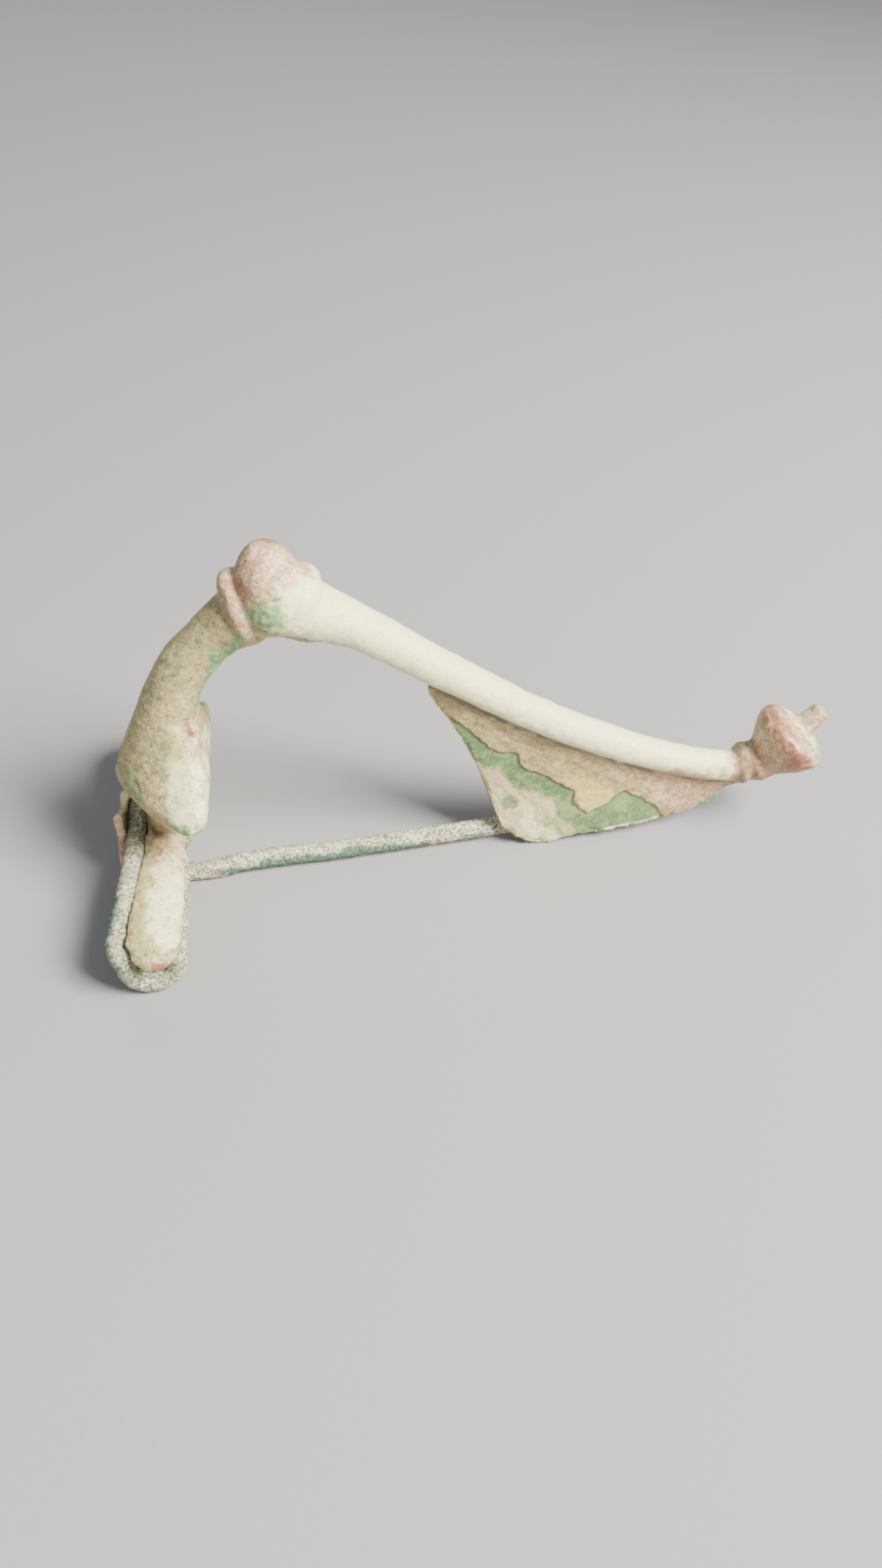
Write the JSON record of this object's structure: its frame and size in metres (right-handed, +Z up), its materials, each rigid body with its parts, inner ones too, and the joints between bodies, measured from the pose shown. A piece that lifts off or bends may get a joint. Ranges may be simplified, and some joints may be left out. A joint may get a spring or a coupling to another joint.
{
  "type": "fibula brooch",
  "caption": "Ancient bow brooch: arched cast bow with crown knob, trumpet head, coiled wire spring under a cover, straight pin, folded catch plate and flared foot knob.",
  "frame": {"origin": "under the middle of the brooch's box, on the surface that it stands on", "axes": "+X from the spring towards the foot knob, +Y along the spring away from the open side of the arch that is looked at, +Z up"},
  "size_m": [0.07, 0.0342, 0.0359],
  "materials": {
    "cast_bronze": "weathered bronze with a pale olive and copper patina, green where it flaked",
    "wire_bronze": "corroded bronze wire, grey-green with turquoise spots"
  },
  "bodies": {
    "root": {"bow": "cast_bronze", "spring_pin": "wire_bronze"}
  },
  "joints": []
}
